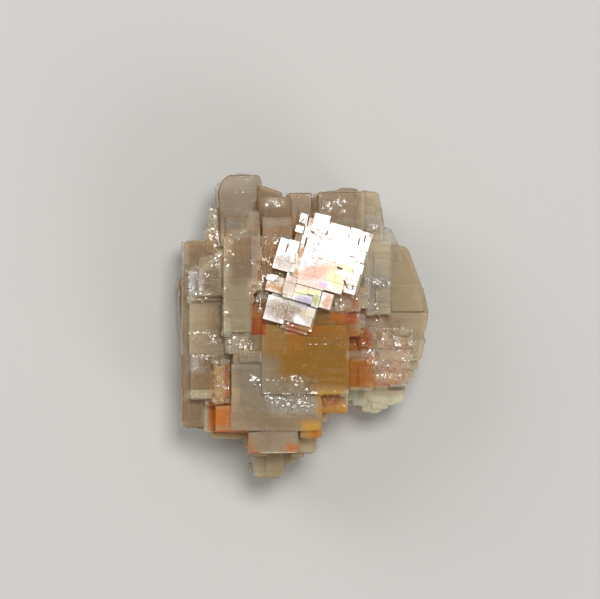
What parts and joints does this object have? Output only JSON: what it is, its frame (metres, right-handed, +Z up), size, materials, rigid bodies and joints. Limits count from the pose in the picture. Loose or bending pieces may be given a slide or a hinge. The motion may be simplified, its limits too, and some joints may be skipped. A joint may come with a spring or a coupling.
{
  "type": "halite cubic crystal cluster",
  "caption": "Clear to smoky stepped halite crystal cluster with amber stained parts and one turned, bright crystal, lying on its flat back.",
  "frame": {"origin": "under the centre of the cluster's box, on the flat face that it rests on", "axes": "+Z up, out of the front crystal faces; +Y towards the crown block, along the cluster's length; +X towards the broad right-hand wing"},
  "size_m": [0.0494, 0.0602, 0.0305],
  "materials": {
    "halite": "clear to cloudy rock salt with amber stained parts"
  },
  "bodies": {
    "root": {"halite_crystal": "halite"}
  },
  "joints": []
}
